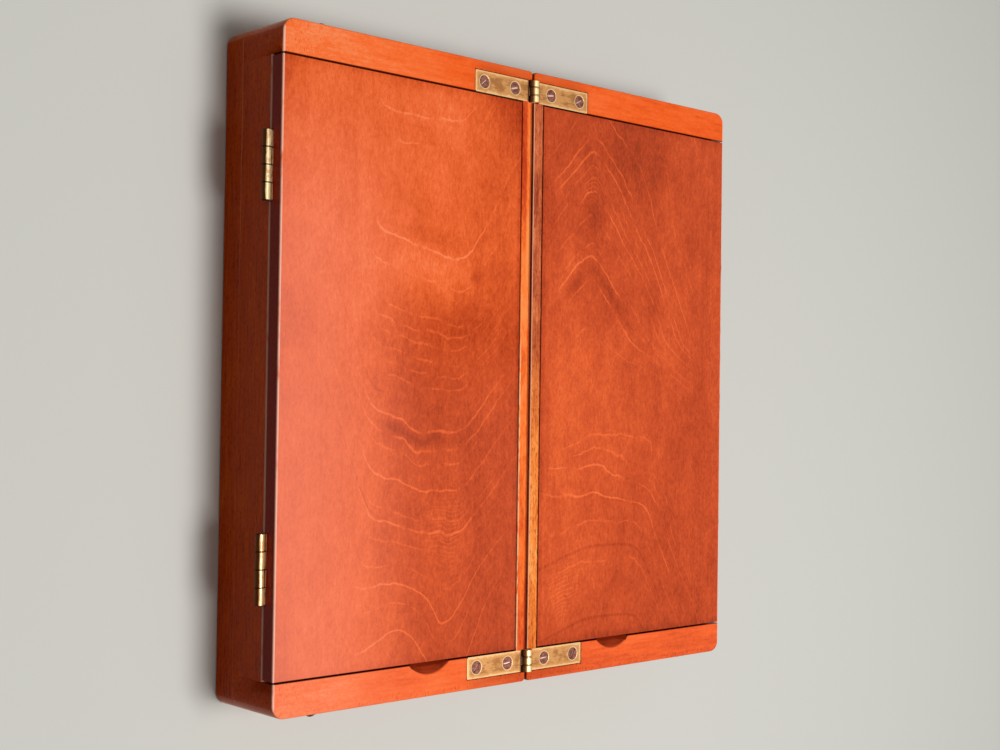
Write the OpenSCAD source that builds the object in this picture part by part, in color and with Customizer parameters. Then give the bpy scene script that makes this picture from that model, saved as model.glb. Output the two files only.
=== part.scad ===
// Folding travelling box: two shallow trays that lie open side by side, each under its own hinged lid.
// X runs across the fold, Y along it and Z up. The origin is on the table, under the middle of the fold.

/* [Case] */
// Length of the case along the fold
case_len = 248; // [200:1:320]
// Width of one half, across the fold
half_w = 121.5; // [100:0.5:160]
// Height of each half, from the table to the rim
case_h = 37.5; // [32:0.5:60]
// Gap between the two halves where they meet at the fold
fold_gap = 1.2; // [0.8:0.1:2]
// Gap between the two rims when the case is folded shut
rim_gap = 0.3; // [0.2:0.1:0.6]
// Thickness of the base boards
base_t = 11.5; // [6:0.5:12]
// Thickness of the end rails and the long walls
rail_w = 12.7; // [12:0.1:18]
// Radius of the outer upright corners
corner_r = 5; // [1:0.5:8]
// Radius of the upright corners beside the fold
fold_corner_r = 1.5; // [0.5:0.1:3]

/* [Lids] */
// Thickness of the lids
lid_t = 6.6; // [5.5:0.1:9]
// Gap between a lid and the rails and lip round it
lid_gap = 0.5; // [0.3:0.1:1]
// How far a lid's top lies below the rim
lid_drop = 0.1; // [0:0.05:0.3]
// Gap between a lid and the walls under it
lid_lift = 0.2; // [0.1:0.05:0.4]
// Width of the lip that shows between a lid and the fold
lip_w = 5.1; // [4:0.1:7]

/* [Thumb notches] */
// Width of a notch along the front rail
notch_w = 20.3; // [14:0.1:26]
// How far a notch reaches into the top of the rail
notch_reach = 4.4; // [3:0.1:5]
// Depth of a notch beside the lid
notch_deep = 4; // [2.5:0.1:5]
// Distance from the fold to the middle of a notch
notch_from_fold = 51; // [45:1:65]

/* [Strap hinges] */
// Length of a strap leaf, from the fold to its end
strap_len = 31.6; // [29:0.1:36]
// Width of a strap leaf
strap_w = 8.7; // [7:0.1:10]
// Thickness of a strap leaf
strap_t = 1.6; // [1.4:0.1:2]
// How far a strap leaf lies below the rim
strap_sink = 0.05; // [0:0.05:0.2]
// Radius of the barrel
strap_barrel_r = 2.2; // [2:0.1:3]
// Radius of the hinge pin
strap_pin_r = 1.1; // [0.8:0.1:1.3]
// Length of the middle knuckle
strap_knuckle = 3.6; // [2.5:0.1:4.5]
// Distance from the fold to the nearer screw
strap_screw_near = 10.2; // [8:0.1:14]
// Distance from the fold to the farther screw
strap_screw_far = 26.8; // [20:0.1:28]

/* [Lid hinges] */
// Length of a lid hinge
butt_len = 25.4; // [20:0.1:32]
// Distance from the end of the case to the middle of a lid hinge
butt_from_end = 52.4; // [40:0.1:70]
// How far a leaf reaches in over the wall
butt_leaf_w = 9; // [7:0.1:10]
// Thickness of a leaf
butt_t = 1.1; // [0.9:0.1:1.3]
// Radius of the barrel
butt_barrel_r = 1.7; // [1.5:0.1:2.2]
// Radius of the hinge pin
butt_pin_r = 0.8; // [0.6:0.1:1]
// Gap between the barrel and the side of the case
butt_stand = 0.2; // [0.2:0.05:0.5]
// Number of knuckles
butt_knuckles = 4; // [3:1:5]
// Distance between the two screws of a leaf
butt_screw_pitch = 15; // [10:0.5:17]

/* [Screws] */
// Radius of a strap screw's head
screw_head_r = 2.5; // [2:0.1:3]
// Radius of a strap screw's shank
screw_shank_r = 1.2; // [1:0.1:1.6]
// Length of a strap screw
screw_len = 9.5; // [6:0.5:12]
// Radius of a lid hinge screw's head
butt_head_r = 1.9; // [1.6:0.1:2.1]
// Radius of a lid hinge screw's shank
butt_shank_r = 0.9; // [0.7:0.1:1.2]
// Length of a lid hinge screw
butt_screw_len = 5; // [4:0.1:5.2]
// Width of a screw's slot
slot_w = 0.6; // [0.4:0.1:0.8]
// Depth of a screw's slot
slot_deep = 0.5; // [0.3:0.1:0.8]

/* [Hooks] */
// Distance from the outer side of the case to a hook's pivot
hook_from_side = 20.8; // [20:0.1:30]
// Depth of a hook's pivot below the rim
hook_down = 7; // [6:0.1:9]
// Depth of a catch pin below its own rim
catch_down = 7; // [6:0.1:9]
// Thickness of a hook
hook_t = 1; // [0.8:0.1:1.4]
// Width of a hook's arm
hook_w = 2.6; // [2:0.1:3.5]
// Radius of the eye round the pivot
hook_eye_r = 2.6; // [2.3:0.1:3.2]
// Radius of the hook's end
hook_end_r = 3; // [2.6:0.1:3.5]
// Gap between a hook and the end of the case
hook_stand = 0.15; // [0.1:0.05:0.3]
// Radius of the pivot screw's shank
pivot_r = 1.1; // [0.8:0.1:1.3]
// Radius of the pivot screw's head
pivot_head_r = 1.9; // [1.7:0.1:2.4]
// Height of the pivot screw's head
pivot_head_h = 0.9; // [0.6:0.1:1.2]
// How far the pivot screw and the catch pin go into the rail
pin_bite = 8; // [5:0.5:10]
// Radius of a catch pin
catch_r = 0.9; // [0.7:0.1:1.2]
// How far a catch pin stands out of the rail
catch_out = 1.5; // [1.2:0.1:2]

/* [Clearances] */
// Round a pin in its bore, or a screw in its hole
turn_clear = 0.05; // [0.02:0.01:0.1]
// Round a leaf in the bed cut for it
bed_clear = 0.15; // [0.05:0.05:0.3]
// Between neighbouring knuckles
knuckle_gap = 0.15; // [0.1:0.05:0.3]
// Round a barrel in the notch cut for it
barrel_clear = 0.3; // [0.2:0.05:0.5]
// Round a catch pin in its hook
catch_clear = 0.2; // [0.1:0.05:0.3]

/* [Hidden] */
$fn = 64;
eps = 0.01;    // overshoot of a cut past an open face
far = 10;      // overshoot of a cut into open air

fold_x = fold_gap / 2;
outer_x = fold_x + half_w;
end_y = case_len / 2;
rail_y = end_y - rail_w;                // inner face of an end rail
lid_top = case_h - lid_drop;
lid_under = lid_top - lid_t;
seat_z = lid_under - lid_lift;          // top of the outer wall and of the ledge
fold_z = case_h + rim_gap / 2;          // height of the fold's axis

notch_r = (pow(notch_w / 2, 2) + pow(notch_reach, 2)) / (2 * notch_reach);
notch_in = notch_r - notch_reach;       // from the rail's inner face to the notch's middle
notch_up = (pow(notch_r, 2) - pow(notch_in, 2) - pow(notch_deep, 2)) / (2 * notch_deep);
scoop_r = sqrt(pow(notch_r, 2) + pow(notch_up, 2));

strap_top = case_h - strap_sink;
strap_y = rail_y + strap_w / 2;         // middle of a strap hinge
strap_root = strap_barrel_r + barrel_clear;
strap_side_knuckle = (strap_w - strap_knuckle) / 2 - knuckle_gap;
strap_screws = [strap_screw_near, strap_screw_far];

butt_x = outer_x + butt_stand + butt_barrel_r;
butt_z = (lid_under + seat_z) / 2;
butt_y = end_y - butt_from_end;
butt_cell = butt_len / butt_knuckles;
butt_screw_x = outer_x - butt_leaf_w / 2;

hook_x = outer_x - hook_from_side;
hook_reach = hook_down + catch_down + rim_gap;

wood = [0.78, 0.30, 0.13];
lid_wood = [0.68, 0.24, 0.12];
brass = [0.72, 0.58, 0.32];
dark_metal = [0.33, 0.24, 0.24];

// Each piece is drawn at the right-hand, back end, and turned over to its own side and end.
module placed(side = "right", end = "back") {
    mirror([side == "left" ? 1 : 0, 0, 0])
        mirror([0, end == "front" ? 1 : 0, 0])
            children();
}

module along_y(r, len) {
    rotate([90, 0, 0]) cylinder(r = r, h = len, center = true);
}

// ---- wooden pieces ----

// What a rounded corner takes off, with the corner's point at the origin and the wood in -x, -y
module corner_waste(r) {
    difference() {
        translate([-r, -r]) square(r + far);
        translate([-r, -r]) circle(r);
    }
}

module half_outline() {
    difference() {
        translate([fold_x, -end_y]) square([half_w, case_len]);
        for (s = [-1, 1]) {
            translate([outer_x, s * end_y]) scale([1, s]) corner_waste(corner_r);
            translate([fold_x, s * end_y]) scale([-1, s]) corner_waste(fold_corner_r);
        }
    }
}

module base_board() {
    color(wood) linear_extrude(base_t) half_outline();
}

// Room for the fold's barrel, which the rails and the lip keep clear of
module barrel_room() {
    translate([0, strap_y, fold_z]) along_y(strap_root, strap_w + 2 * barrel_clear);
}

module strap_bed() {
    translate([0, rail_y - eps, strap_top - strap_t - bed_clear])
        cube([strap_len + bed_clear, strap_w + bed_clear + eps, far]);
}

// The hole that a countersunk screw's shank makes, straight down from z = 0
module shank_hole(r, len) {
    translate([0, 0, -len - turn_clear]) cylinder(r = r + turn_clear, h = len + far);
}

// The scoop that a thumb reaches into, at the inner top edge of a back rail
module thumb_scoop() {
    translate([notch_from_fold, rail_y - notch_in, case_h + notch_up]) sphere(scoop_r);
}

// A round hole into the end of the case
module end_hole(z, r) {
    translate([hook_x, end_y - pin_bite / 2, z]) along_y(r + turn_clear, pin_bite + 2 * turn_clear);
}

module end_rail(notched, hole_z, hole_r) {
    color(wood) difference() {
        translate([0, 0, base_t]) linear_extrude(case_h - base_t) intersection() {
            half_outline();
            translate([0, rail_y]) square([outer_x + far, rail_w + far]);
        }
        strap_bed();
        barrel_room();
        for (x = strap_screws) translate([x, strap_y, strap_top]) shank_hole(screw_shank_r, screw_len);
        if (notched) thumb_scoop();
        end_hole(hole_z, hole_r);
    }
}

module left_rail(end) {
    placed("left", end) end_rail(end == "front", case_h - hook_down, pivot_r);
}

module right_rail(end) {
    placed("right", end) end_rail(end == "front", case_h - catch_down, catch_r);
}

// The bed of one lid hinge leaf, from z = 0 in the direction of dir
module butt_bed(dir) {
    bed_t = butt_t + bed_clear;
    translate([outer_x - butt_leaf_w - bed_clear, butt_y - butt_len / 2 - bed_clear, dir > 0 ? -far : -bed_t])
        cube([butt_leaf_w + far, butt_len + 2 * bed_clear, bed_t + far]);
}

// The places of the two screws of the lid hinge at the back end
module butt_screw_places() {
    for (s = [-1, 1]) translate([butt_screw_x, butt_y + s * butt_screw_pitch / 2, 0]) children();
}

module outer_wall() {
    color(wood) difference() {
        translate([outer_x - rail_w, -rail_y, base_t]) cube([rail_w, 2 * rail_y, seat_z - base_t]);
        for (end = ["front", "back"]) placed("right", end) translate([0, 0, seat_z]) {
            butt_bed(-1);
            butt_screw_places() shank_hole(butt_shank_r, butt_screw_len);
        }
    }
}

// The wall beside the fold, with the lip at the rim and the ledge that the lid's free edge lies on
module inner_wall() {
    color(wood) difference() {
        translate([fold_x, -rail_y, base_t]) cube([rail_w, 2 * rail_y, case_h - base_t]);
        translate([fold_x + lip_w, -end_y, seat_z]) cube([rail_w, case_len, far + case_h - seat_z]);
        for (end = ["front", "back"]) placed("right", end) barrel_room();
    }
}

module lid_panel() {
    lid_x = fold_x + lip_w + lid_gap;
    lid_y = rail_y - lid_gap;
    color(lid_wood) difference() {
        translate([lid_x, -lid_y, lid_under]) cube([outer_x - lid_x, 2 * lid_y, lid_t]);
        for (end = ["front", "back"]) placed("right", end) translate([0, 0, lid_under]) {
            mirror([0, 0, 1]) butt_bed(-1);
            mirror([0, 0, 1]) butt_screw_places() shank_hole(butt_shank_r, butt_screw_len);
        }
    }
}

// ---- screws ----

// A countersunk screw, its flat head level with z = 0 and its point down
module wood_screw(head_r, shank_r, len) {
    head_h = head_r - shank_r;
    color(dark_metal) difference() {
        union() {
            translate([0, 0, -head_h]) cylinder(r1 = shank_r, r2 = head_r, h = head_h);
            translate([0, 0, -len]) cylinder(r = shank_r, h = len - head_h);
        }
        translate([-head_r, -slot_w / 2, -slot_deep]) cube([2 * head_r, slot_w, slot_deep + far]);
    }
}

// The countersunk hole that it goes through
module sunk_hole(head_r, shank_r) {
    head_h = head_r - shank_r;
    translate([0, 0, -head_h]) cylinder(r1 = shank_r + turn_clear, r2 = head_r + turn_clear, h = head_h + eps);
    translate([0, 0, -far]) cylinder(r = shank_r + turn_clear, h = far);
}

// ---- strap hinges, let in flush at the fold ----

// One knuckle of the fold, with the tab that joins it to its leaf
module strap_knuckle(y, len) {
    translate([0, y, fold_z]) along_y(strap_barrel_r, len);
    translate([0, y - len / 2, strap_top - strap_t]) cube([strap_root + eps, len, strap_t]);
}

module strap_leaf(knuckles) {
    color(brass) difference() {
        union() {
            translate([strap_root, rail_y, strap_top - strap_t])
                cube([strap_len - strap_root, strap_w, strap_t]);
            for (k = knuckles) strap_knuckle(k[0], k[1]);
        }
        translate([0, strap_y, fold_z]) along_y(strap_pin_r + turn_clear, strap_w + far);
        for (x = strap_screws) translate([x, strap_y, strap_top]) sunk_hole(screw_head_r, screw_shank_r);
    }
}

module left_strap_leaf(end) {
    placed("left", end) strap_leaf([[strap_y, strap_knuckle]]);
}

module right_strap_leaf(end) {
    off = (strap_w - strap_side_knuckle) / 2;
    placed("right", end)
        strap_leaf([for (s = [-1, 1]) [strap_y + s * off, strap_side_knuckle]]);
}

module strap_pin(end) {
    color(brass) placed("right", end) translate([0, strap_y, fold_z]) along_y(strap_pin_r, strap_w);
}

module strap_screw_set(side) {
    for (end = ["front", "back"], x = strap_screws)
        placed(side, end) translate([x, strap_y, strap_top])
            wood_screw(screw_head_r, screw_shank_r, screw_len);
}

// ---- lid hinges, their barrels standing on the outer sides ----

// One leaf with its knuckles; first is 0 for the case's leaf and 1 for the lid's, which lies upside down
module butt_leaf(first) {
    face_z = first == 0 ? seat_z : lid_under;
    color(brass) difference() {
        union() {
            translate([outer_x - butt_leaf_w, butt_y - butt_len / 2, face_z - (first == 0 ? butt_t : 0)])
                cube([butt_leaf_w, butt_len, butt_t]);
            for (k = [first : 2 : butt_knuckles - 1])
                translate([0, butt_y - butt_len / 2 + (k + 0.5) * butt_cell, 0]) {
                    len = butt_cell - knuckle_gap;
                    translate([butt_x, 0, butt_z]) along_y(butt_barrel_r, len);
                    translate([outer_x - eps, -len / 2, face_z - (first == 0 ? butt_t : 0)])
                        cube([butt_x - outer_x + eps, len, butt_t]);
                }
        }
        translate([butt_x, butt_y, butt_z]) along_y(butt_pin_r + turn_clear, butt_len + far);
        translate([0, 0, face_z]) mirror([0, 0, first])
            butt_screw_places() sunk_hole(butt_head_r, butt_shank_r);
    }
}

module butt_pin(side, end) {
    color(brass) placed(side, end) translate([butt_x, butt_y, butt_z])
        along_y(butt_pin_r, butt_len);
}

module butt_screw_set(side, first) {
    for (end = ["front", "back"])
        placed(side, end) translate([0, 0, first == 0 ? seat_z : lid_under]) mirror([0, 0, first])
            butt_screw_places() wood_screw(butt_head_r, butt_shank_r, butt_screw_len);
}

// ---- hook catches, on the two ends of the case ----

// A flat hook that hangs from its pivot; its mouth opens outwards, and takes the pin when it is swung up
module hook(end) {
    color(brass) placed("left", end)
        translate([hook_x, end_y + hook_stand + hook_t / 2, case_h - hook_down]) difference() {
            union() {
                along_y(hook_eye_r, hook_t);
                translate([-hook_w / 2, -hook_t / 2, -hook_reach]) cube([hook_w, hook_t, hook_reach]);
                translate([0, 0, -hook_reach]) along_y(hook_end_r, hook_t);
            }
            along_y(pivot_r + turn_clear, hook_t + far);
            translate([0, 0, -hook_reach]) {
                along_y(catch_r + catch_clear, hook_t + far);
                translate([0, -far, -catch_r - catch_clear]) cube([far, 2 * far, 2 * (catch_r + catch_clear)]);
            }
        }
}

// A round-headed screw that a hook turns on
module hook_pivot_screw(end) {
    head_y = end_y + 2 * hook_stand + hook_t;
    cap_r = (pow(pivot_head_r, 2) + pow(pivot_head_h, 2)) / (2 * pivot_head_h);
    shank_len = head_y - end_y + pin_bite + pivot_head_h / 2;
    color(brass) placed("left", end) translate([hook_x, 0, case_h - hook_down]) {
        translate([0, end_y - pin_bite + shank_len / 2, 0]) along_y(pivot_r, shank_len);
        difference() {
            translate([0, head_y + pivot_head_h - cap_r, 0]) sphere(cap_r);
            translate([-cap_r - far, head_y - 2 * cap_r - far, -cap_r - far])
                cube([2 * (cap_r + far), 2 * cap_r + far, 2 * (cap_r + far)]);
        }
    }
}

module catch_pin(end) {
    color(brass) placed("right", end)
        translate([hook_x, end_y + (catch_out - pin_bite) / 2, case_h - catch_down])
            along_y(catch_r, catch_out + pin_bite);
}

// ---- the nodes ----

placed("left") base_board();  // left_base_board
base_board();  // right_base_board
left_rail("front");  // left_front_rail
left_rail("back");  // left_back_rail
right_rail("front");  // right_front_rail
right_rail("back");  // right_back_rail
placed("left") outer_wall();  // left_outer_wall
outer_wall();  // right_outer_wall
placed("left") inner_wall();  // left_inner_wall
inner_wall();  // right_inner_wall
placed("left") lid_panel();  // left_lid_panel
lid_panel();  // right_lid_panel

left_strap_leaf("front");  // front_strap_leaf_left
right_strap_leaf("front");  // front_strap_leaf_right
left_strap_leaf("back");  // back_strap_leaf_left
right_strap_leaf("back");  // back_strap_leaf_right
strap_pin("front");  // front_strap_pin
strap_pin("back");  // back_strap_pin
strap_screw_set("left");  // left_strap_screws
strap_screw_set("right");  // right_strap_screws

placed("left", "front") butt_leaf(0);  // left_front_hinge_case_leaf
placed("left", "front") butt_leaf(1);  // left_front_hinge_lid_leaf
butt_pin("left", "front");  // left_front_hinge_pin
placed("left", "back") butt_leaf(0);  // left_back_hinge_case_leaf
placed("left", "back") butt_leaf(1);  // left_back_hinge_lid_leaf
butt_pin("left", "back");  // left_back_hinge_pin
placed("right", "front") butt_leaf(0);  // right_front_hinge_case_leaf
placed("right", "front") butt_leaf(1);  // right_front_hinge_lid_leaf
butt_pin("right", "front");  // right_front_hinge_pin
placed("right", "back") butt_leaf(0);  // right_back_hinge_case_leaf
placed("right", "back") butt_leaf(1);  // right_back_hinge_lid_leaf
butt_pin("right", "back");  // right_back_hinge_pin
butt_screw_set("left", 0);  // left_hinge_case_screws
butt_screw_set("left", 1);  // left_hinge_lid_screws
butt_screw_set("right", 0);  // right_hinge_case_screws
butt_screw_set("right", 1);  // right_hinge_lid_screws

hook("front");  // front_hook
hook("back");  // back_hook
union() {  // hook_pivot_screws
    hook_pivot_screw("front");
    hook_pivot_screw("back");
}
union() {  // catch_pins
    catch_pin("front");
    catch_pin("back");
}
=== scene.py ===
"""Finish of a folding travelling box in mahogany and brass, lying open flat.

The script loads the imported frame, gives each wooden and brass piece its eased edges and its finish, and
sets up a plain studio. X runs across the fold, Y along it and Z up. Lengths are in millimetres where a
name or a comment says so, and in metres elsewhere.
"""

import math

import bmesh
import bpy
from mathutils import Matrix, Vector


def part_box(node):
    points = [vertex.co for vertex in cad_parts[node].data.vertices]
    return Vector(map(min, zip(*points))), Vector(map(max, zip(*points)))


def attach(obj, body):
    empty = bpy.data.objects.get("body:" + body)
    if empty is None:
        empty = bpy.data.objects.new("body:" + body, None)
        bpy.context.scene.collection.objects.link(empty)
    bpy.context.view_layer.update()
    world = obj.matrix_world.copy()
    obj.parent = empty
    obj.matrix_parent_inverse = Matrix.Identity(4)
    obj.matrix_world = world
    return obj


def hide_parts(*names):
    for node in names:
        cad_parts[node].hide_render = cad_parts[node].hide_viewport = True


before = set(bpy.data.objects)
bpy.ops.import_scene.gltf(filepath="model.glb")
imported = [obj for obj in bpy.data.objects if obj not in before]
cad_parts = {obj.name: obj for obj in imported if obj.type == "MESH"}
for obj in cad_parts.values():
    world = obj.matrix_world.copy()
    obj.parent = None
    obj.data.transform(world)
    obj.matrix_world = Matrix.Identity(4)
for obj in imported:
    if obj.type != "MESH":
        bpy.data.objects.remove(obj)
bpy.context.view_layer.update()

MM = 0.001
SIDES = ("left", "right")
ENDS = ("front", "back")


def box_mm(node):
    """Lowest and highest corner of a CAD node, in millimetres."""
    low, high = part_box(node)
    return low / MM, high / MM


# ---- sizes in millimetres, taken from the frame where it has them ----

rail_low, rail_high = box_mm("right_back_rail")
lid_low, lid_high = box_mm("right_lid_panel")
strap_low, strap_high = box_mm("back_strap_leaf_right")
screws_low, screws_high = box_mm("right_strap_screws")

OUTER_X = rail_high.x          # long outer side of the case
FOLD_X = rail_low.x            # side beside the fold
END_Y = rail_high.y            # ends of the case
RAIL_Y = rail_low.y            # inner faces of the end rails
RIM_Z = rail_high.z            # top of the case
BASE_Z = rail_low.z            # joint between the base board and what stands on it
SEAT_Z = box_mm("right_outer_wall")[1].z       # top of a long wall, under the lid
LID_X = lid_low.x              # a lid's edge beside the lip
LID_Y = lid_high.y             # a lid's ends
LID_Z = lid_high.z             # a lid's face
LID_LOW = lid_low.z            # a lid's underside
STRAP_END = strap_high.x       # far end of a strap leaf
STRAP_LOW = strap_low.y        # a strap leaf's long sides
STRAP_HIGH = strap_high.y
STRAP_Y = (STRAP_LOW + STRAP_HIGH) / 2
STRAP_TOP = screws_high.z      # a strap leaf's face
LEAF_LOW = STRAP_TOP - 1.6     # a strap leaf's underside
STRAP_KNUCKLE = (STRAP_HIGH - STRAP_LOW) / 3   # length of one knuckle of a strap hinge
SCREW_R = 2.5                  # radius of a strap hinge's screw heads
SCREW_MID = (screws_high.x + screws_low.x) / 2                 # halfway between a leaf's two screws
SCREW_STEP = (screws_high.x - screws_low.x) / 2 - SCREW_R      # from there to each of them
LIP_EDGE = FOLD_X + 5.1        # the lip's edge beside the lid
NOTCH_X = 51.0                 # middle of a thumb notch
NOTCH_HALF = 10.15             # half its length
NOTCH_IN = 4.4                 # how far it reaches into the rail
NOTCH_DOWN = 4.0               # how deep it is beside the lid

pin_low, pin_high = box_mm("right_back_hinge_pin")
PIN_X = (pin_low.x + pin_high.x) / 2           # axis of a lid's hinges
PIN_Z = (pin_low.z + pin_high.z) / 2
PIN_START = pin_low.y
BUTT_KNUCKLE = (pin_high.y - pin_low.y) / 4    # length of one knuckle of a lid's hinge


# ---- shader maths ----


class Wire:
    """An output in a shader tree. Arithmetic on it adds Math nodes."""

    def __init__(self, bench, socket):
        self.bench = bench
        self.socket = socket

    def math(self, operation, *others):
        inputs = dict(enumerate((self, *others)))
        return self.bench.add("ShaderNodeMath", {"operation": operation}, inputs)

    def __add__(self, other):
        return self.math("ADD", other)

    def __radd__(self, other):
        return self.math("ADD", other)

    def __sub__(self, other):
        return self.math("SUBTRACT", other)

    def __rsub__(self, other):
        return self.bench.add("ShaderNodeMath", {"operation": "SUBTRACT"}, {0: other, 1: self})

    def __mul__(self, other):
        return self.math("MULTIPLY", other)

    def __rmul__(self, other):
        return self.math("MULTIPLY", other)

    def __abs__(self):
        return self.math("ABSOLUTE")

    def root(self):
        return self.math("SQRT")

    def most(self, other):
        return self.math("MAXIMUM", other)

    def least(self, other):
        return self.math("MINIMUM", other)

    def ramp(self, low, high):
        """Rises smoothly from 0 at low to 1 at high; low may be the greater."""
        inputs = {"Value": self, "From Min": low, "From Max": high}
        return self.bench.add("ShaderNodeMapRange", {"interpolation_type": "SMOOTHSTEP"}, inputs)

    def near(self, place, width):
        """One at a place, falling to nothing a width away on either side."""
        return abs(self - place).ramp(width, 0.0)

    def hill(self, centre, reach):
        """A round hill, one high, on a board: its centre and reach are across and down, in millimetres."""
        scale = (1 / reach[0], 1 / reach[1], 0.0)
        shift = (-centre[0] / reach[0], -centre[1] / reach[1], 0.0)
        offset = self.bench.vector("MULTIPLY_ADD", self, scale, shift)
        square = self.bench.vector("DOT_PRODUCT", offset, offset, output="Value")
        return self.bench.add("ShaderNodeMath", {"operation": "POWER"}, {0: 1 / math.e, 1: square})


class Bench:
    """The shader tree of one finish, or of the air round the box."""

    def __init__(self, owner):
        owner.use_nodes = True
        self.owner = owner
        self.tree = owner.node_tree
        self.tree.nodes.clear()

    def add(self, kind, settings=None, inputs=None, output=0):
        """Adds a node: its settings first, then values or wires into its sockets. Returns one output, or
        a list of outputs where several are named. The setting "stops" holds the colours of a ramp."""
        node = self.tree.nodes.new(kind)
        for key, value in (settings or {}).items():
            if key == "stops":
                self.spread(node.color_ramp.elements, value)
            else:
                setattr(node, key, value)
        for key, value in (inputs or {}).items():
            if isinstance(value, Wire):
                self.tree.links.new(value.socket, node.inputs[key])
            else:
                node.inputs[key].default_value = value
        if isinstance(output, tuple):
            return [Wire(self, node.outputs[index]) for index in output]
        return Wire(self, node.outputs[output])

    def spread(self, stops, colours):
        """Sets a ramp's stops to colours at even steps."""
        while len(stops) < len(colours):
            stops.new(0.5)
        for count, colour in enumerate(colours):
            stops[count].position = count / (len(colours) - 1)
            stops[count].color = colour

    def vector(self, operation, *inputs, output=0):
        """Vector maths on points."""
        return self.add("ShaderNodeVectorMath", {"operation": operation}, dict(enumerate(inputs)), output)

    def place(self):
        """The point on the piece in millimetres, and its three parts."""
        point = self.add("ShaderNodeTexCoord", output="Object")
        point = self.vector("MULTIPLY", point, (1 / MM, 1 / MM, 1 / MM))
        return point, self.add("ShaderNodeSeparateXYZ", inputs={0: point}, output=(0, 1, 2))

    def noise(self, point, size, detail=2.0, rough=0.5):
        """Soft noise from about -0.25 to 0.25, its lumps sized in millimetres along X, Y and Z."""
        point = self.vector("MULTIPLY", point, tuple(1 / length for length in size))
        inputs = {"Vector": point, "Scale": 1.0, "Detail": detail, "Roughness": rough}
        return self.add("ShaderNodeTexNoise", {"noise_dimensions": "3D"}, inputs) - 0.5

    def tones(self, value, colours):
        """A colour from a tone between 0 and 1, through colours at even steps."""
        return self.add("ShaderNodeValToRGB", {"stops": colours}, {0: value})

    def mix(self, factor, first, second):
        """The first colour where the factor is 0 and the second where it is 1."""
        return self.add("ShaderNodeMix", {"data_type": "RGBA"}, {0: factor, 6: first, 7: second}, output=2)

    def shown(self):
        """One where the camera, a gloss or a glass looks, and nothing for the light itself."""
        rays = ("Is Camera Ray", "Is Glossy Ray", "Is Transmission Ray")
        seen, glossed, glazed = self.add("ShaderNodeLightPath", output=rays)
        return seen.most(glossed).most(glazed)

    def finish(self, sockets, height=None, depth=0.0):
        """Ends the tree in one shader, with a bump of the given depth in millimetres."""
        sockets = dict(sockets)
        if height is not None:
            inputs = {"Strength": 1.0, "Distance": depth * MM, "Height": height}
            sockets["Normal"] = self.add("ShaderNodeBump", inputs=inputs)
        shader = self.add("ShaderNodeBsdfPrincipled", inputs=sockets)
        self.add("ShaderNodeOutputMaterial", inputs={"Surface": shader}, output=())
        return self.owner


def finish_bench(name):
    """A bench for a new finish."""
    return Bench(bpy.data.materials.new(name))


def srgb(*parts):
    """A colour given as it looks, on a scale to 255, in the linear form that shaders take."""
    shares = [part / 255 for part in parts]
    linear = [share / 12.92 if share <= 0.04045 else ((share + 0.055) / 1.055) ** 2.4 for share in shares]
    return (*linear, 1.0)


def soft(value, width):
    """A ramp that is 0 below zero and rises by one for one above it, rounded over a width."""
    return 0.5 * (value + (value * value + width * width).root())


def arris(first, second, width):
    """One on a rounded edge, from the distances below the two faces that meet there."""
    return (first + second).ramp(width, 0.6 * width)


def from_strap_screw(x, y):
    """Distance from the axis of the nearest strap hinge screw."""
    across = abs(abs(abs(x) - SCREW_MID) - SCREW_STEP)
    along = abs(y) - STRAP_Y
    return (across * across + along * along).root()


# ---- the lids' boards ----
# Across runs from a board's left edge and down from the box's back end, both in millimetres.

LEFT_STRONG = (76, 144, 151, 167, 184, 211, 237)          # heights of the rings that show most
LEFT_FAINT = (27, 38, 88, 102, 107, 112, 118, 123, 128, 156, 179, 191, 202, 221)
LEFT_DARK = (39, 66, 136, 183)
RIGHT_STRONG = (5, 19, 25, 41, 67, 78, 161, 173)
RIGHT_FAINT = (-66, -19, 31, 36, 50, 62, 97, 148, 154, 185, 201)
RIGHT_DARK = (195, 225)

LEFT_CLOUDS = (                                          # centre, reach, and how much lighter
    ((6, 100), (14, 16), -0.16), ((0, 12), (14, 12), -0.18), ((112, 18), (8, 14), -0.35),
    ((70, 66), (11, 10), -0.12), ((54, 15), (8, 6), -0.12), ((70, 84), (18, 7), 0.16),
    ((36, 98), (8, 16), 0.10), ((82, 26), (10, 8), 0.12), ((93, 86), (3, 3.5), -0.35),
    ((85, 104), (12, 5), -0.10), ((66, 140), (24, 14), -0.10), ((60, 118), (9, 7), 0.08),
    ((18, 80), (16, 40), 0.08), ((100, 130), (14, 26), 0.06), ((100, 205), (16, 40), -0.08),
    ((1, 226), (7, 24), -0.22))
RIGHT_CLOUDS = (
    ((38, 128), (30, 38), 0.21), ((30, 56), (6, 8), -0.20), ((40, 96), (16, 12), -0.14),
    ((20, 86), (9, 5), -0.15), ((78, 100), (6, 40), 0.10), ((72, 130), (3, 12), -0.15),
    ((45, 175), (20, 5), -0.06), ((98, 150), (14, 60), -0.05), ((30, 240), (60, 14), -0.14),
    ((16, 25), (5, 8), -0.12), ((66, 95), (5, 10), -0.10), ((84, 205), (30, 36), -0.09),
    ((14, 140), (14, 60), 0.22), ((5, 55), (8, 30), -0.14), ((54, 30), (24, 18), -0.32),
    ((20, 205), (16, 24), 0.14))


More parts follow.
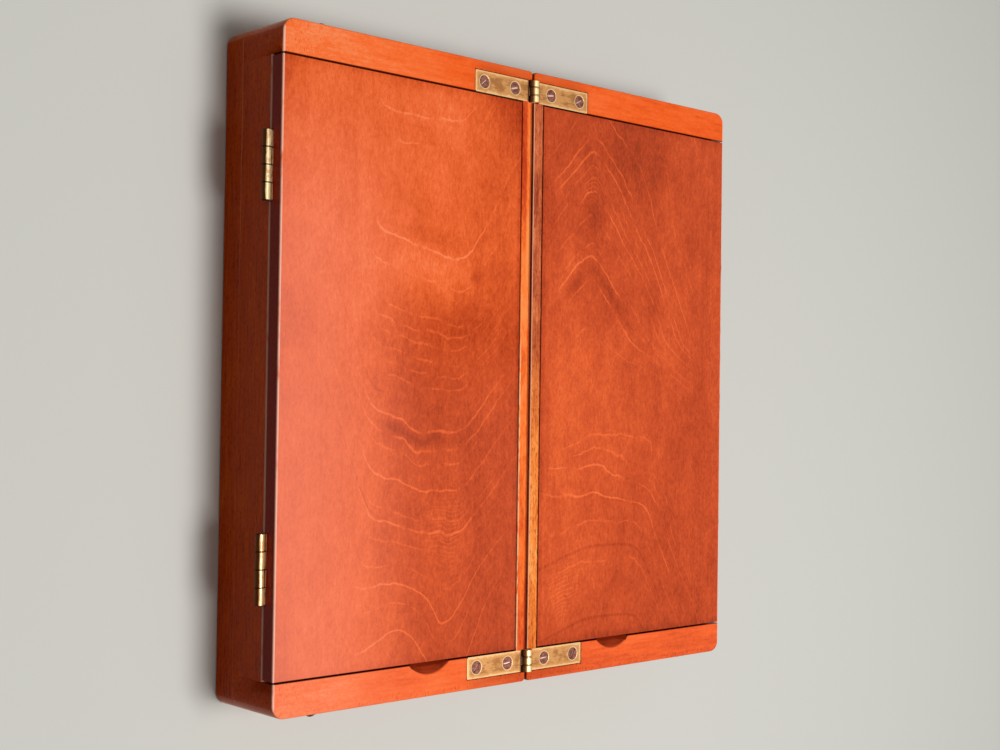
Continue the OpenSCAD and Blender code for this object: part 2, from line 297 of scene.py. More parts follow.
def left_figure(across, down, spot):
    """Height of the growth rings in the left lid's board."""
    height = down - 0.22 * (across - 60) * down.ramp(40, 80)
    height = height + 2.2 * soft(41 - 8 * down.ramp(185, 205) - across, 3)
    height = height + 4.0 * soft(40 + 0.12 * down - across, 2) * down.ramp(75, 45)
    height = height + 1.3 * soft(across - 85, 4) + 1.2 * soft(across - 90, 4) * down.ramp(180, 220)
    height = height + 16 * spot.hill((56, 232), (13, 26)) - 8 * spot.hill((77, 224), (7, 16))
    return height - 3 * spot.hill((64, 152), (6, 22)) - 4 * spot.hill((96, 98), (10, 14))


def right_figure(across, down):
    """Height of the growth rings in the right lid's board."""
    low = down.ramp(105, 135)
    fall = 0.8 + 0.35 * down.ramp(25, 60)
    peaked = 1.1 * soft(29 - across, 4) + fall * soft(across - 29, 4) + 0.9 * soft(across - 66, 6)
    rise = 0.7 * down.ramp(165, 145) + 0.3 * down.ramp(175, 195)
    tilt = 0.35 * down.ramp(190, 165) * down.ramp(150, 165)
    flat = rise * soft(28 - across, 5) + tilt * soft(across - 34, 5)
    flat = flat + 1.7 * soft(across - 68 + 8 * down.ramp(170, 195), 4)
    return down - peaked * (1 - low) - flat * low


def nearest(height, heights):
    """How far the nearest of some rings is, in millimetres of height."""
    gap = abs(height - heights[0])
    for countersink_highlight in heights[1:]:
        gap = gap.least(abs(height - countersink_highlight))
    return gap


# ---- finishes ----

LID_TONES = (srgb(150, 50, 18), srgb(184, 65, 26), srgb(207, 80, 36), srgb(230, 97, 45),
             srgb(246, 112, 60), srgb(255, 134, 86))
CASE_TONES = (srgb(150, 44, 12), srgb(205, 70, 20), srgb(246, 97, 34), srgb(255, 120, 60),
              srgb(255, 150, 100))
BARE_TONES = (srgb(140, 78, 46), srgb(176, 106, 66), srgb(198, 128, 84))            # bare wood inside
LID_SIDE_TONES = (srgb(118, 16, 0), srgb(150, 24, 0), srgb(168, 32, 0))
SIDE_TONES = (srgb(156, 36, 0), srgb(214, 66, 0), srgb(238, 86, 2), srgb(255, 116, 14))
LEFT_LIP_TONES = (srgb(190, 62, 26), srgb(224, 86, 38), srgb(255, 118, 46), srgb(255, 148, 78))
BACK_LIP_TONES = (srgb(136, 54, 32), srgb(180, 82, 48), srgb(212, 106, 64), srgb(240, 142, 90))
FRONT_LIP_TONES = (srgb(190, 84, 36), srgb(236, 120, 48), srgb(255, 150, 70), srgb(255, 182, 110))
# pink of a soft reflection, painted as a sheen on the lids and the front rails
PAINTED_SHEEN_PINK = srgb(255, 146, 122)
# pale wear on the outer arrises, with a painted glint of light
WEAR_AND_GLINT = srgb(255, 195, 172)
PALE_WOOD = srgb(255, 202, 150)
# dark red of painted shade
SHADE_RED = srgb(110, 28, 8)
# painted shade in the narrow gaps round the lids, with dirt in the joints
GAP_SHADE_AND_DIRT = srgb(86, 15, 5)
BED_GRIME = srgb(84, 26, 10)           # round the strap leaves
SCOOP_SHADE = srgb(126, 34, 12)         # a thumb notch in painted shade, darkest beside the lid and lighter at its far side
SCOOP_PALE = srgb(186, 66, 32)
PORE = srgb(120, 46, 18)
# painted shade with dirt along the right lip's gap beside the lid
LIP_GAP_SHADE_AND_DIRT = srgb(92, 36, 14)
# pale wear on the right lip's arris beside the fold, with a painted glint of light
LIP_WEAR_AND_GLINT = srgb(255, 196, 160)
POLISH = {"Specular IOR Level": 0.11, "Specular Tint": srgb(255, 146, 116)}       # old rubbed polish

STRAP_BRASS = srgb(216, 154, 90)
STRAP_STAIN = srgb(156, 98, 46)
STRAP_RUBBED = srgb(250, 208, 150)
COUNTERSINK_HIGHLIGHT = srgb(255, 226, 180)       # painted highlight on a countersink's edge round a screw
EDGE_DARK = srgb(96, 52, 22)           # a leaf's sides and screw holes
# painted highlight on top of a strap hinge's barrel, and painted shade on its flanks
BARREL_HIGHLIGHT = srgb(255, 226, 162)
BARREL_SHADE = srgb(124, 70, 30)
BARREL_JOINT = srgb(60, 28, 10)
# painted shade in the groove between a strap barrel and its leaves
BARREL_FOOT_SHADE = srgb(44, 18, 8)
BACK_HIGHLIGHT = srgb(255, 232, 176)      # painted highlights on the tops of the lids' hinge barrels, by the end they are near
FRONT_HIGHLIGHT = srgb(246, 200, 142)
BUTT_BROWN = srgb(190, 116, 56)
# painted shade on the lower side of a lid hinge's barrel
BUTT_SHADE = srgb(84, 44, 16)
BUTT_JOINT = srgb(50, 26, 12)
LEAF_BRASS = srgb(214, 164, 104)
LEAF_STAIN = srgb(166, 114, 62)
TARNISH = (srgb(112, 68, 34), srgb(60, 32, 16))
SCREW_PALE = srgb(168, 108, 92)
SCREW_DARK = srgb(116, 68, 58)
# painted glint of light in a screw's slot
SLOT_GLINT = srgb(255, 222, 204)
# painted shade round the rim of a screw head, where it sits in its countersink
HEAD_RIM_SHADE = srgb(70, 34, 22)


def board_finish(side):
    """French-polished lid: rings, soft clouds, a fine stipple, a painted pink sheen, a painted glint with
    wear on its outer arris, and painted shade with dirt in the joint round it.
    """
    bench = finish_bench(side + "_lid_polish")
    point, (x, y, z) = bench.place()
    down = END_Y - y
    across = OUTER_X + x if side == "left" else x - LID_X
    spot = bench.add("ShaderNodeCombineXYZ", inputs={0: across, 1: down})
    if side == "left":
        height = left_figure(across, down, spot)
        belt = across.ramp(34, 44) * across.ramp(118, 84)
        flank = across.ramp(66, 32)
        tone = 0.42 + 0.41 * flank - 0.05 * across.ramp(70, 95) - 0.10 * across.ramp(14, 2)
        tone = tone + down.ramp(114, 80) * (0.46 - 0.38 * flank - 0.20 * across.ramp(80, 105))
        shaded = height.near(147.5, 3.6) * spot.hill((62, 147), (20, 12)) * 0.30
        shaded = shaded + height.near(71, 5) * spot.hill((72, 74), (14, 9)) * 0.12
        dark_rings = nearest(height, LEFT_DARK).ramp(0.9, 0.2) * across.ramp(50, 44) * across.ramp(16, 24)
        packed = spot.hill((80, 186), (9, 14))
        broken = (-0.2, 0.0)
        edge_shade_and_dirt = 0.4
        sheen = across.ramp(75, 0) * down.ramp(10, 90) * 0.42 + down.ramp(100, 150) * 0.06
        strong, faint, clouds = LEFT_STRONG, LEFT_FAINT, LEFT_CLOUDS
    else:
        height = right_figure(across, down)
        belt = across.ramp(2, 14) * across.ramp(108, 84)
        tone = 0.40 + 0.02 * belt
        shaded = height.near(73, 6) * spot.hill((40, 90), (30, 24)) * 0.20
        dark_rings = nearest(height, RIGHT_DARK).ramp(0.9, 0.2) * across.ramp(82, 72)
        packed = spot.hill((33, 43), (12, 9)) + spot.hill((12, 213), (11, 11))
        broken = (-0.14, 0.08)
        edge_shade_and_dirt = 1.0
        sheen = 0.04
        strong, faint, clouds = RIGHT_STRONG, RIGHT_FAINT, RIGHT_CLOUDS
    for centre, reach, amount in clouds:
        tone = tone + amount * spot.hill(centre, reach)
    height = height + 5.0 * bench.noise(point, (22, 34, 22)) + 3.2 * bench.noise(point, (5, 7, 5))
    line = nearest(height, strong).ramp(0.7, 0.2) * bench.noise(point, (14, 20, 14)).ramp(*broken)
    thread = nearest(height, faint).ramp(0.6, 0.15) * bench.noise(point, (9, 9, 9)).ramp(-0.12, 0.06)
    thread = thread.most(height.math("PINGPONG", 0.85).ramp(0.4, 0.0) * packed)
    tone = tone + 0.35 * bench.noise(point, (26, 38, 26), 1.0)
    tone = tone + 0.5 * bench.noise(point, (8, 14, 8), 2.0, 0.7)
    tone = tone + 0.4 * bench.noise(point, (1.8, 60, 5), 2.0, 0.7) * (1 - 0.7 * belt)
    stipple = bench.noise(point, (1.0, 2.2, 1.0), 2.0, 0.8)
    tone = tone + 0.85 * stipple
    tone = tone + (0.42 * line + 0.25 * thread) * (0.3 + 0.7 * belt) - shaded - 0.16 * dark_rings
    rim = (LID_Y - abs(y)).ramp(4.0, 0.0).most((abs(x) - LID_X).ramp(3.0, 0.0))
    colour = bench.tones((tone - 0.16 * rim) * 0.8, LID_TONES)
    # painted pink sheen of a reflection, strongest on the left lid's left part
    colour = bench.mix(sheen, colour, PAINTED_SHEEN_PINK)
    under = (z - LID_LOW).ramp(0.3, 0.1)
    colour = bench.mix(under, colour, bench.tones(tone, BARE_TONES))
    # painted shade with dirt in the gap round the lid, on its ends and on its edge beside the lip
    joint = (LID_Y - abs(y)).ramp(0.35, 0.0).most((abs(x) - LID_X).ramp(0.2, 0.0) * edge_shade_and_dirt)
    colour = bench.mix(joint * 0.8, colour, GAP_SHADE_AND_DIRT)
    outer_side = (LID_Z - z).ramp(0.5, 1.0) * (OUTER_X - abs(x)).ramp(0.3, 0.1)
    colour = bench.mix(outer_side, colour, bench.tones(tone, LID_SIDE_TONES))
    # the lid's outer arris: wear with a painted glint of light
    wear_and_glint = arris(OUTER_X - abs(x), LID_Z - z, 0.8) * bench.noise(point, (3, 9, 3)).ramp(-0.3, 0.0)
    colour = bench.mix(wear_and_glint * 0.9, colour, WEAR_AND_GLINT)
    sockets = {"Base Color": colour, "Roughness": 0.30 + 0.4 * stipple + 0.3 * under, **POLISH}
    return bench.finish(sockets, stipple + 0.15 * line, 0.02)


def case_finish(name, run):
    """Polished case wood, whose grain runs along "x" on the end rails and along "y" elsewhere."""
    bench = finish_bench(name)
    point, (x, y, z) = bench.place()

    def grain(long, fine, rough):
        size = (long, fine, fine) if run == "x" else (fine, long, fine)
        return bench.noise(point, size, 2.0, rough)

    left_end = x.ramp(-40, -112)
    front = y.ramp(-60, -END_Y)
    tone = 0.60 - 0.08 * x.ramp(-20, 70) + 0.20 * left_end + 0.03 * left_end * y.ramp(40, -40)
    tone = tone - 0.07 * front + 0.5 * grain(34, 14, 0.6)
    streaks = grain(14, 1.4, 0.6)
    tone = tone + 0.4 * streaks + (0.35 + 0.3 * left_end) * grain(1.8, 1.0, 0.8)
    flecks = bench.noise(point, (0.5, 1.9, 0.5), 1.0).ramp(0.10, 0.17)
    flecked = x.ramp(-OUTER_X + 26, -OUTER_X + 4).most(y.ramp(-END_Y + 5, -END_Y + 1))
    tone = tone - 0.3 * flecks * flecked
    colour = bench.tones(tone, CASE_TONES)
    below = RIM_Z - z
    bare = (OUTER_X - abs(x)).ramp(8.0, 8.5) * (abs(x) - FOLD_X).ramp(0.3, 0.6)
    bare = bare * (abs(y) - RAIL_Y).ramp(0.15, 0.05)
    bare = bare * (z - BASE_Z).ramp(-0.3, -0.2) * (SEAT_Z - z).ramp(0.0, 0.3)
    colour = bench.mix(bare, colour, bench.tones(tone - 0.1, BARE_TONES))
    fold_side = (abs(x) - FOLD_X).ramp(0.4, 0.1) * below.ramp(0.3, 0.9)
    side = (OUTER_X - abs(x)).ramp(0.4, 0.1).most(fold_side)
    # painted pink sheen of a reflection on the front rails, strongest at the left end
    colour = bench.mix(front * (0.08 + 0.22 * left_end), colour, PAINTED_SHEEN_PINK)
    colour = bench.mix(side, colour, bench.tones(tone + 0.6 * streaks - 0.25, SIDE_TONES))
    if run == "x":
        beside = (abs(x) - STRAP_END).most(abs(y) - STRAP_HIGH)
        grime = (beside + 1.2 * bench.noise(point, (1.2, 1.2, 1.2))).ramp(0.5, 0.0) * below.ramp(1.0, 0.2)
        # painted shade on the rail beside a strap leaf
        leaf_shade = beside.ramp(7.0, 0.5) * (abs(x) - STRAP_END).ramp(5.0, -9.0)
        colour = bench.mix(leaf_shade * 0.3, colour, SHADE_RED)
        colour = bench.mix(grime * 0.7, colour, BED_GRIME)
        into = -RAIL_Y - y
        scoop = abs(abs(x) - NOTCH_X).ramp(NOTCH_HALF + 0.45, NOTCH_HALF - 0.35)
        scoop = scoop * into.ramp(-0.2, 0.1) * into.ramp(NOTCH_IN + 0.5, NOTCH_IN + 0.2)
        scoop = scoop * below.ramp(0.1, 0.6) * below.ramp(NOTCH_DOWN + 0.6, NOTCH_DOWN + 0.2)
        # the thumb notch darkened with painted shade, deepest beside the lid
        scooped = bench.mix((into - 6 * streaks).ramp(0.0, NOTCH_IN), SCOOP_SHADE, SCOOP_PALE)
        colour = bench.mix(scoop, colour, scooped)
        # painted shade with dirt on the rail's face in the gap beside the lid
        joint = (abs(y) - RAIL_Y).ramp(0.35, 0.05) * (1 - scoop) * (z - SEAT_Z).ramp(0.0, 0.4)
        colour = bench.mix(joint * 0.9, colour, GAP_SHADE_AND_DIRT)
        wear_and_glint = arris(OUTER_X - abs(x), below, 0.9)
    else:
        wear_and_glint = arris(OUTER_X - abs(x), abs(SEAT_Z - z), 0.9)
    # the outer arris: wear with a painted glint of light
    wear_and_glint = wear_and_glint * bench.noise(point, (3, 9, 3)).ramp(-0.3, -0.05)
    # a painted highlight along the base board's joint on the sides, brighter towards the back
    seam_highlight = (z - BASE_Z).near(0.0, 0.22) * side * (0.25 + 0.35 * y.ramp(0, 80))
    colour = bench.mix((wear_and_glint * 0.9).most(seam_highlight), colour, WEAR_AND_GLINT)
    sockets = {"Base Color": colour, "Roughness": 0.32 + 0.3 * streaks + 0.3 * bare, **POLISH}
    return bench.finish(sockets, streaks, 0.02)


def lip_finish(side):
    """The lip beside the fold: the left one bright, the right one brown at the back and worn in front."""
    bench = finish_bench(side + "_lip_polish")
    point, (x, y, z) = bench.place()
    down = END_Y - y
    depth = RIM_Z - z
    top = depth.ramp(0.9, 0.4)
    patches = bench.noise(point, (9, 30, 9), 2.0, 0.6)
    fine = bench.noise(point, (0.9, 3.2, 0.9), 2.0, 0.7)
    ragged = bench.noise(point, (0.8, 4.5, 0.8), 2.0)
    lid_edge = (LIP_EDGE - abs(x)).ramp(0.9, 0.3) * top
    if side == "left":
        tone = 0.74 + 1.5 * patches + 1.0 * fine - 0.1 * down.ramp(60, 20) - 0.44 * down.ramp(150, 205)
        tone = tone + (0.25 - 0.6 * (abs(x) + 3 * fine).ramp(2.6, 3.6)) * down.ramp(110, 60)
        colour = bench.tones(tone, LEFT_LIP_TONES)
        chipped = lid_edge * ragged.ramp(-0.15, 0.02) * down.ramp(95, 125)
        colour = bench.mix(chipped * 0.8, colour, PALE_WOOD)
        # the left lip's arris beside the fold: painted shade where it turns down into the gap
        fold_edge = arris(abs(x) - FOLD_X, depth, 1.2)
        colour = bench.mix(fold_edge * 0.7, colour, SHADE_RED)
    else:
        tone = 0.5 + 1.4 * patches + 0.9 * fine + 0.9 * bench.noise(point, (0.7, 14, 0.7), 2.0)
        browned = bench.tones(tone, BACK_LIP_TONES)
        rubbed = bench.tones(tone, FRONT_LIP_TONES)
        colour = bench.mix((down + 70 * patches).ramp(85, 160), browned, rubbed)
        pores = bench.noise(point, (0.5, 2.6, 0.5), 1.0).ramp(0.08, 0.14)
        colour = bench.mix(pores * 0.55, colour, PORE)
        # a ragged line of painted shade with dirt on the right lip's edge by the gap beside the lid
        dark_line = (LIP_EDGE - abs(x)).ramp(0.6, 0.1) * top * ragged.ramp(-0.1, 0.04)
        colour = bench.mix(dark_line * 0.8, colour, LIP_GAP_SHADE_AND_DIRT)
        # the right lip's arris beside the fold: wear with a painted glint of light
        fold_edge = arris(abs(x) - FOLD_X, depth, 0.4)
        colour = bench.mix(fold_edge * 0.75, colour, LIP_WEAR_AND_GLINT)
    below = depth.ramp(0.7, 1.4)
    bare = below * (abs(x) - FOLD_X).ramp(0.3, 0.6)
    colour = bench.mix(below, colour, bench.tones(0.35 + 0.7 * patches + 0.7 * fine, SIDE_TONES))
    colour = bench.mix(bare, colour, bench.tones(0.5 + 0.7 * patches + 0.7 * fine, BARE_TONES))
    sockets = {"Base Color": colour, "Roughness": 0.34 + 0.3 * fine + 0.3 * bare, **POLISH}
    return bench.finish(sockets, fine, 0.04)


def metal(bench, colour, rough, relief, depth, whole=1.0):
    """Ends a metal finish; whole says how much of it is bare metal."""
    sockets = {"Base Color": colour, "Metallic": whole, "Roughness": rough}
    return bench.finish(sockets, relief, depth)


def strap_finish():
    """Brass of the strap hinges: rubbed bright at its edges, mottled and scratched in the middle, with a
    painted highlight on the barrel's top, painted shade on its flanks and foot, and a painted highlight
    round each screw.
    """
    bench = finish_bench("strap_brass")
    point, (x, y, z) = bench.place()
    clouds = bench.noise(point, (4, 3, 4), 3.0, 0.65)
    rubs = bench.noise(point, (5, 0.4, 2), 2.0)
    edge = (STRAP_END - abs(x)).least(STRAP_HIGH - abs(y)).least(abs(y) - STRAP_LOW)
    rubbed = (edge + 3.5 * clouds).ramp(1.0, 0.2)
    stained = (clouds + 0.4 * rubs).ramp(-0.1, 0.12) * edge.ramp(0.4, 2.4)
    colour = bench.mix(stained * 0.85, STRAP_BRASS, STRAP_STAIN)
    colour = bench.mix(rubbed * 0.7, colour, STRAP_RUBBED)
    # painted highlight round the edge of each screw's countersink
    countersink_highlight = from_strap_screw(x, y).near(SCREW_R + 0.25, 0.35)
    colour = bench.mix(countersink_highlight * 0.6, colour, COUNTERSINK_HIGHLIGHT)
    colour = bench.mix((STRAP_TOP - z).ramp(0.1, 0.4) * 0.8, colour, EDGE_DARK)
    barrel = abs(x).ramp(2.35, 2.15)
    # the strap barrel: a painted highlight on top, fading to painted shade on its flanks
    barrel_light_and_shade = bench.mix(abs(x).ramp(0.7, 1.8), BARREL_HIGHLIGHT, BARREL_SHADE)
    joint = abs(abs(y) - STRAP_Y).near(STRAP_KNUCKLE / 2, 0.45)
    colour = bench.mix(barrel, colour, bench.mix(joint * 0.8, barrel_light_and_shade, BARREL_JOINT))
    # painted shade in the groove between the barrel and the leaves
    colour = bench.mix(abs(x).near(2.7, 1.1), colour, BARREL_FOOT_SHADE)
    rough = 0.46 + 0.4 * clouds + 0.2 * rubs
    return metal(bench, colour, rough, rubs, 0.008, 0.6)


def lid_hinge_finish():
    """Brass of the lid hinges: a painted highlight on top of the barrel, painted shade below it, and dark
    in the joints.
    """
    bench = finish_bench("lid_hinge_brass")
    point, (x, y, z) = bench.place()
    clouds = bench.noise(point, (3, 5, 3), 3.0, 0.6)
    # the barrel: a painted highlight on the side facing up, painted shade below
    facing = (z - PIN_Z) - 0.8 * (abs(x) - PIN_X)
    lit_top = (facing + 1.5 * clouds).ramp(0.4, 1.0)
    bright = bench.mix(y.ramp(20, -20), BACK_HIGHLIGHT, FRONT_HIGHLIGHT)
    browned = bench.noise(point, (1.5, 2.5, 1.5), 2.0).ramp(0.02, 0.14)
    bright = bench.mix(browned * 0.6, bright, BUTT_BROWN)
    colour = bench.mix(lit_top, BUTT_SHADE, bright)
    joint = (abs(y) - PIN_START).math("PINGPONG", BUTT_KNUCKLE / 2).ramp(0.4, 0.1)
    colour = bench.mix(joint * 0.85, colour, BUTT_JOINT)
    leaf = (abs(x) - OUTER_X).ramp(-0.1, -0.8)
    colour = bench.mix(leaf, colour, bench.mix(clouds.ramp(-0.1, 0.14), LEAF_BRASS, LEAF_STAIN))
    # where the highlight is painted, the brass is less metallic
    whole = 1 - 0.7 * lit_top.least(1 - leaf)
    return metal(bench, colour, 0.30 + 0.5 * clouds + 0.14 * leaf, clouds, 0.02, whole)


def tarnished_finish():
    """Dark tarnished brass of the hooks and their pins."""
    bench = finish_bench("tarnished_brass")
    point = bench.place()[0]
    clouds = bench.noise(point, (2, 2, 2), 3.0, 0.6)
    colour = bench.mix(clouds.ramp(-0.12, 0.12), *TARNISH)
    return metal(bench, colour, 0.45 + 0.6 * clouds, clouds, 0.04)


def screw_finish():
    """Dark aged screw heads, with a painted glint in the middle of the slot and painted shade round the
    rim.
    """
    bench = finish_bench("aged_screws")
    point, (x, y, z) = bench.place()
    clouds = bench.noise(point, (1.2, 1.2, 1.2), 2.0)
    colour = bench.mix(clouds.ramp(-0.15, 0.15), SCREW_PALE, SCREW_DARK)
    radius = from_strap_screw(x, y)
    # a painted glint in the slot, strongest in the middle of the head and on the screws beside the fold
    slot = (z - STRAP_TOP).ramp(-0.15, -0.4)
    bright = 0.7 + 0.3 * abs(x).ramp(SCREW_MID + 2, SCREW_MID - 2)
    colour = bench.mix(slot * radius.ramp(2.2, 1.2) * bright, colour, SLOT_GLINT)
    # painted shade round the rim of the head, where it sits in its countersink
    colour = bench.mix(radius.ramp(2.2, SCREW_R - 0.05) * 0.6, colour, HEAD_RIM_SHADE)
    return metal(bench, colour, 0.42 + 0.5 * clouds, clouds, 0.05, 0.8)


# ---- pieces ----

MERGE = 1e-6                   # corners closer than this, in metres, are one
FLAT = math.radians(0.5)       # faces that meet at less than this are one
CREASE = math.radians(25)      # edges sharper than this are eased
TOUCH = 0.01                   # slack in millimetres when heights are compared
SLACK = 0.05                   # the same across and along the box
HAIRLINE = 0.12                # rounding in millimetres where two glued pieces meet


def merged_copy(node):
    """A bmesh of a CAD node with its loose triangles joined."""
    form = bmesh.new()
    form.from_mesh(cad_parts[node].data)
    bmesh.ops.remove_doubles(form, verts=form.verts, dist=MERGE)
    return form


def stand_in(node, form, body, finish):
    """Makes a piece of a bmesh, which stands for a CAD node and moves with its body."""
    for face in form.faces:
        face.material_index = 0
    mesh = bpy.data.meshes.new(node + "_finished")
    form.to_mesh(mesh)
    form.free()
    mesh.materials.append(finish)
    piece = bpy.data.objects.new(node + "_finished", mesh)
    bpy.context.scene.collection.objects.link(piece)
    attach(piece, body)
    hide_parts(node)
    return piece


def eased(node, body, finish, width_of, segments=3):
    """A copy of a CAD node with its edges eased. width_of gives the width of an edge's rounding in
    millimetres, from the edge's middle and the normals of its two faces."""
    form = merged_copy(node)
    bmesh.ops.dissolve_limit(form, angle_limit=FLAT, verts=form.verts, edges=form.edges)
    form.normal_update()
    weight = form.edges.layers.float.new("bevel_weight_edge")
    widths = {}
    for edge in form.edges:
        edge.smooth = True
        if edge.calc_face_angle(0) > CREASE:
            middle = (edge.verts[0].co + edge.verts[1].co) / 2 / MM
            normals = [face.normal for face in edge.link_faces]
            widths[edge] = width_of(middle, *normals)
            edge.smooth = widths[edge] > 0
    widest = max(widths.values())
    for edge, width in widths.items():
        edge[weight] = width / widest
    for face in form.faces:
        face.smooth = True
    piece = stand_in(node, form, body, finish)
    bevel = piece.modifiers.new("eased_edges", "BEVEL")
    bevel.limit_method = "WEIGHT"
    bevel.width = widest * MM
    bevel.segments = segments
    bevel.use_clamp_overlap = False
    bevel.miter_outer = "MITER_ARC"
    flat = piece.modifiers.new("flat_faces", "WEIGHTED_NORMAL")
    flat.keep_sharp = True


def rail_edges(middle, first, second):
    """Rounding of an end rail: full along its outer arris, slight beside the lid."""
    outward = 1 if middle.y > 0 else -1
    if middle.z < BASE_Z + TOUCH:
        side = first if abs(first.z) < 0.5 else second
        return HAIRLINE if side.y * outward > -0.5 and max(abs(side.x), abs(side.y)) > 0.3 else 0.0
    if middle.z < RIM_Z - TOUCH:
        return 0.0
    if abs(middle.y) < RAIL_Y + TOUCH:
        return 0.25
    on_outline = abs(middle.y) > STRAP_Y + 5 or abs(middle.x) > OUTER_X - 6
    return 0.6 if on_outline else HAIRLINE


def base_edges(middle, first, second):
    """Rounding of a base board: easy along the underside, a hairline at the joint above."""
    if abs(middle.z) < TOUCH:
        return 0.8
    return HAIRLINE if middle.z > BASE_Z - TOUCH else 0.0


def wall_edges(middle, first, second):
    """Rounding of a long outer wall: its top edge under the lid, and a hairline at the base."""
    outer = max(abs(first.x), abs(second.x)) > 0.9 and abs(middle.x) > OUTER_X - SLACK
    if outer and middle.z > SEAT_Z - TOUCH:
        return 0.5
    return HAIRLINE if outer and middle.z < BASE_Z + TOUCH else 0.0


def lip_edges(middle, first, second):
    """Rounding of an inner wall: the lip's two top edges."""
    along = max(abs(first.x), abs(second.x)) > 0.9
    return 0.3 if along and middle.z > RIM_Z - TOUCH else 0.0


def lid_edges(middle, first, second):
    """Rounding of a lid: fuller along the outer side, slight beside the rails and the lip."""
    outer = abs(middle.x) > OUTER_X - SLACK
    at_end = abs(middle.y) > LID_Y - SLACK
    if middle.z > LID_Z - TOUCH:
        return 0.5 if outer else 0.3
    if outer:
        return 0.3 if at_end else 0.25
    low = abs(middle.z - LID_LOW) < TOUCH
    return 0.25 if low and (at_end or abs(middle.x) < LID_X + SLACK) else 0.0


def brass_edges(middle, first, second):
    """Rounding of a brass fitting: all edges rubbed a little."""
    return 0.15


def strap_edges(middle, first, second):
    """Rounding of a strap leaf: its far corners filed round, and its underside left sharp in the bed."""
    if abs(middle.z - LEAF_LOW) < TOUCH:
        return 0.0
    upright = abs(first.z) < 0.1 and abs(second.z) < 0.1
    return 0.8 if upright and abs(middle.x) > STRAP_END - SLACK else 0.15


def turned_screws(side, turns):
    """The strap screws of one half, each turned so that its slot stands as somebody left it."""
    node = side + "_strap_screws"
    form = merged_copy(node)
    for (step, end), degrees in turns.items():
        across = (SCREW_MID + step * SCREW_STEP) * (1 if side == "right" else -1)
        along = STRAP_Y * (1 if end == "back" else -1)
        axis = Vector((across, along, 0)) * MM
        head = [vert for vert in form.verts if (vert.co.xy - axis.xy).length < 1.2 * SCREW_R * MM]
        turn = Matrix.Rotation(math.radians(degrees), 3, "Z")
        bmesh.ops.rotate(form, verts=head, cent=axis, matrix=turn)
    stand_in(node, form, side + "_half", screws)


lid_polish = {side: board_finish(side) for side in SIDES}
lip_polish = {side: lip_finish(side) for side in SIDES}
rail_polish = case_finish("rail_polish", "x")
wall_polish = case_finish("wall_polish", "y")
strap_brass = strap_finish()
lid_hinge_brass = lid_hinge_finish()
tarnished = tarnished_finish()
screws = screw_finish()

for side in SIDES:
    half = side + "_half"
    lid = side + "_lid"
    eased(side + "_base_board", half, wall_polish, base_edges)
    eased(side + "_outer_wall", half, wall_polish, wall_edges)
    eased(side + "_inner_wall", half, lip_polish[side], lip_edges)
    eased(side + "_lid_panel", lid, lid_polish[side], lid_edges, 4)
    for end in ENDS:
        eased(side + "_" + end + "_rail", half, rail_polish, rail_edges, 4)
        eased(end + "_strap_leaf_" + side, half, strap_brass, strap_edges)
        for leaf, body in (("case_leaf", half), ("lid_leaf", lid)):
            eased(side + "_" + end + "_hinge_" + leaf, body, lid_hinge_brass, brass_edges)

for end in ENDS:
    eased(end + "_hook", end + "_hook", tarnished, brass_edges)

NEAR = -1                      # a strap leaf's screw beside the fold
FAR = 1                        # and the one at its far end
turned_screws("left", {(FAR, "back"): 40, (NEAR, "back"): 14, (FAR, "front"): 48, (NEAR, "front"): 5})
turned_screws("right", {(FAR, "back"): 28, (NEAR, "back"): 8, (FAR, "front"): 60, (NEAR, "front"): 4})

for name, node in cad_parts.items():
    for slot in node.material_slots:
        if "screws" in name and "pivot" not in name:
            slot.material = screws
        elif "strap" in name:
            slot.material = strap_brass
        elif "hinge" in name:
            slot.material = lid_hinge_brass
        elif "hook" in name or "catch" in name:
            slot.material = tarnished
        else:
            slot.material = wall_polish


# ---- studio, in metres ----

FLOOR_REACH = 6.0
FLOOR_BOUNCE = srgb(74, 74, 68)
FLOOR_SHOWN = srgb(214, 213, 206)
AIR = srgb(250, 248, 244)
LAMP_PLACE = Vector((0.10, -0.18, 1.15))
LAMP_SIZE = 0.45
LAMP_POWER = 11.0
CAMERA_PLACE = Vector((-0.4132, -0.0130, 0.4706))
CAMERA_TARGET = Vector((-0.0165, -0.0004, 0.0375))
CAMERA_ROLL = math.radians(0.79)
LENS = 52.96         # millimetres, on a sensor 36 mm wide


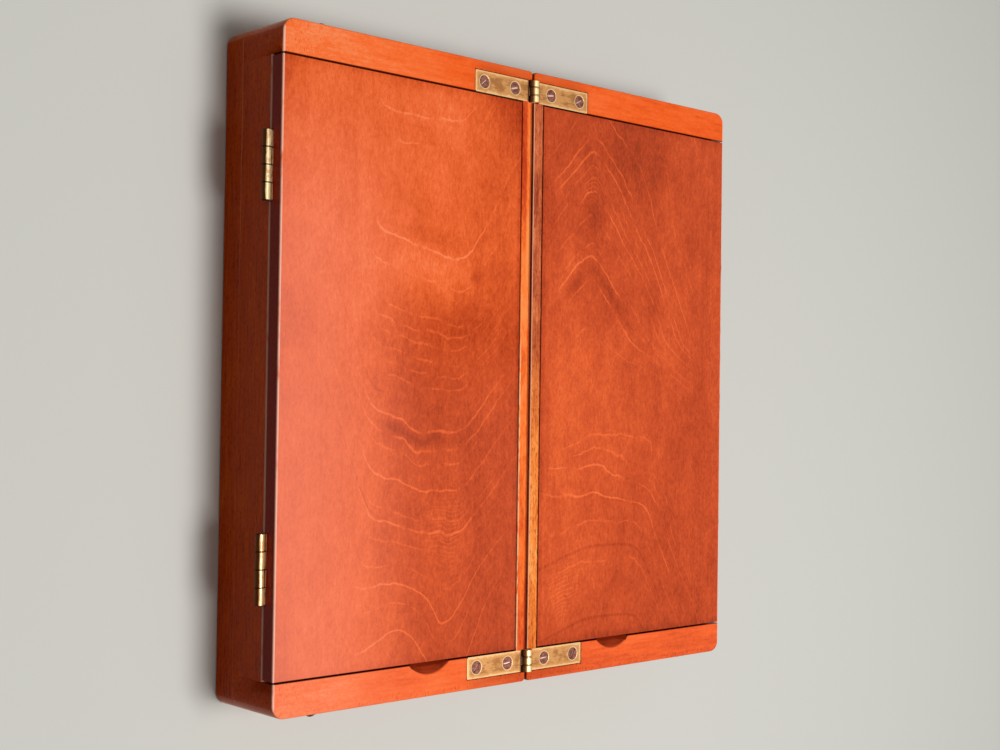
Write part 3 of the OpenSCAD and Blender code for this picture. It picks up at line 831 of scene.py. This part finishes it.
def studio_floor():
    """A plain pale floor, darker to the light that it throws back at the box."""
    bench = finish_bench("studio_floor")
    colour = bench.mix(bench.shown(), FLOOR_BOUNCE, FLOOR_SHOWN)
    shader = bench.add("ShaderNodeBsdfDiffuse", inputs={"Color": colour})
    bench.add("ShaderNodeOutputMaterial", inputs={"Surface": shader}, output=())
    mesh = bpy.data.meshes.new("studio_floor")
    form = bmesh.new()
    bmesh.ops.create_grid(form, x_segments=1, y_segments=1, size=FLOOR_REACH)
    form.to_mesh(mesh)
    form.free()
    floor = bpy.data.objects.new("studio_floor", mesh)
    mesh.materials.append(bench.owner)
    bpy.context.scene.collection.objects.link(floor)


def studio_air():
    """Soft light from all round, and a pale backdrop where it is seen, brighter overhead."""
    bench = Bench(bpy.data.worlds.new("studio_air"))
    heading = bench.add("ShaderNodeTexCoord", output="Generated")
    rise = bench.add("ShaderNodeSeparateXYZ", inputs={0: heading}, output=2)
    strength = 0.2 + (0.30 + 0.40 * rise.ramp(0.66, 0.86)) * bench.shown()
    air = bench.add("ShaderNodeBackground", inputs={"Color": AIR, "Strength": strength})
    bench.add("ShaderNodeOutputWorld", inputs={"Surface": air}, output=())
    bpy.context.scene.world = bench.owner


def studio_lamp():
    """A square soft lamp overhead, aimed at the middle of the fold."""
    light = bpy.data.lights.new("key_lamp", "AREA")
    light.shape = "SQUARE"
    light.size = LAMP_SIZE
    light.energy = LAMP_POWER
    lamp = bpy.data.objects.new("key_lamp", light)
    turn = (-LAMP_PLACE).to_track_quat("-Z", "Y").to_matrix().to_4x4()
    lamp.matrix_world = Matrix.Translation(LAMP_PLACE) @ turn
    bpy.context.scene.collection.objects.link(lamp)


def studio_camera():
    """The camera stands on the left and looks across the fold and down, with Y up in its view."""
    back = (CAMERA_PLACE - CAMERA_TARGET).normalized()
    right = Vector((0, 1, 0)).cross(back).normalized()
    turn = Matrix((right, back.cross(right), back)).transposed().to_4x4()
    roll = Matrix.Rotation(CAMERA_ROLL, 4, "Z")
    lens = bpy.data.cameras.new("camera")
    lens.lens = LENS
    lens.sensor_width = 36.0
    lens.clip_start = 0.01
    camera = bpy.data.objects.new("camera", lens)
    camera.matrix_world = Matrix.Translation(CAMERA_PLACE) @ turn @ roll
    bpy.context.scene.collection.objects.link(camera)
    bpy.context.scene.camera = camera


studio_floor()
studio_air()
studio_lamp()
studio_camera()
bpy.context.scene.view_settings.view_transform = "Standard"
